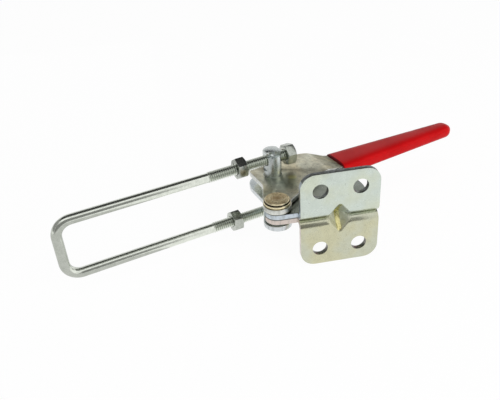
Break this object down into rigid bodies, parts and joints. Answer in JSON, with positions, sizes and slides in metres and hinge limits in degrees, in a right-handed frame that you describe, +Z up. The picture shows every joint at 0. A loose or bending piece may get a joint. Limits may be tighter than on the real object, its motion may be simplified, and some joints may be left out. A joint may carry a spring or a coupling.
{
  "type": "latch toggle clamp",
  "caption": "Latch toggle clamp: folded flanged base, over-centre lever with vinyl grip, and an adjustable threaded U-bolt loop that hooks over a keeper and pulls it tight.",
  "frame": {"origin": "centre of the four mounting holes, on the mounting face", "axes": "+X along the clamp from the hook towards the grip, -Y out of the mounting face, +Z up along the pivot, as the clamp sits on an upright face"},
  "size_m": [0.2523, 0.0908, 0.0556],
  "materials": {
    "zinc_steel": "zinc plated and passivated sheet",
    "rivet_bronze": "yellow passivated steel",
    "pin_steel": "zinc plated, turned",
    "rod_steel": "bright zinc plated rod",
    "nut_steel": "zinc plated",
    "red_vinyl": "satin dipped vinyl"
  },
  "bodies": {
    "base": {"base_plate_upper": "zinc_steel", "base_plate_lower": "zinc_steel", "pivot_rivet": "rivet_bronze", "head_washer": "rivet_bronze", "pivot_washer_upper": "zinc_steel", "pivot_washer_lower": "zinc_steel"},
    "lever": {"lever_plate_upper": "zinc_steel", "lever_plate_lower": "zinc_steel", "grip": "red_vinyl"},
    "trunnion": {"trunnion_pin": "pin_steel"},
    "loop": {"u_bolt": "rod_steel"},
    "front_nut_upper": {"front_nut_upper": "nut_steel"},
    "front_nut_lower": {"front_nut_lower": "nut_steel"},
    "rear_nut_upper": {"rear_nut_upper": "nut_steel"},
    "rear_nut_lower": {"rear_nut_lower": "nut_steel"}
  },
  "joints": [
    {"name": "lever_pivot", "type": "hinge", "parent": "base", "child": "lever", "pos_m": [-0.031, 0.013, 0], "axis": [0, 0, 1], "range_deg": [0, 115]},
    {"name": "trunnion_turn", "type": "hinge", "parent": "lever", "child": "trunnion", "pos_m": [-0.0264, 0.0457, 0], "axis": [0, 0, 1], "range_deg": [-165, 72]},
    {"name": "loop_slide", "type": "slide", "parent": "trunnion", "child": "loop", "axis": [-0.9532, -0.3024, 0], "range_m": [-0.0135, 0.0033]},
    {"name": "front_nut_upper_turn", "type": "hinge", "parent": "loop", "child": "front_nut_upper", "pos_m": [-0.0264, 0.0457, 0.0166], "axis": [-0.9532, -0.3024, 0], "continuous": true},
    {"name": "front_nut_lower_turn", "type": "hinge", "parent": "loop", "child": "front_nut_lower", "pos_m": [-0.0264, 0.0457, -0.0166], "axis": [-0.9532, -0.3024, 0], "continuous": true},
    {"name": "rear_nut_upper_turn", "type": "hinge", "parent": "loop", "child": "rear_nut_upper", "pos_m": [-0.0264, 0.0457, 0.0166], "axis": [-0.9532, -0.3024, 0], "continuous": true},
    {"name": "rear_nut_lower_turn", "type": "hinge", "parent": "loop", "child": "rear_nut_lower", "pos_m": [-0.0264, 0.0457, -0.0166], "axis": [-0.9532, -0.3024, 0], "continuous": true}
  ]
}
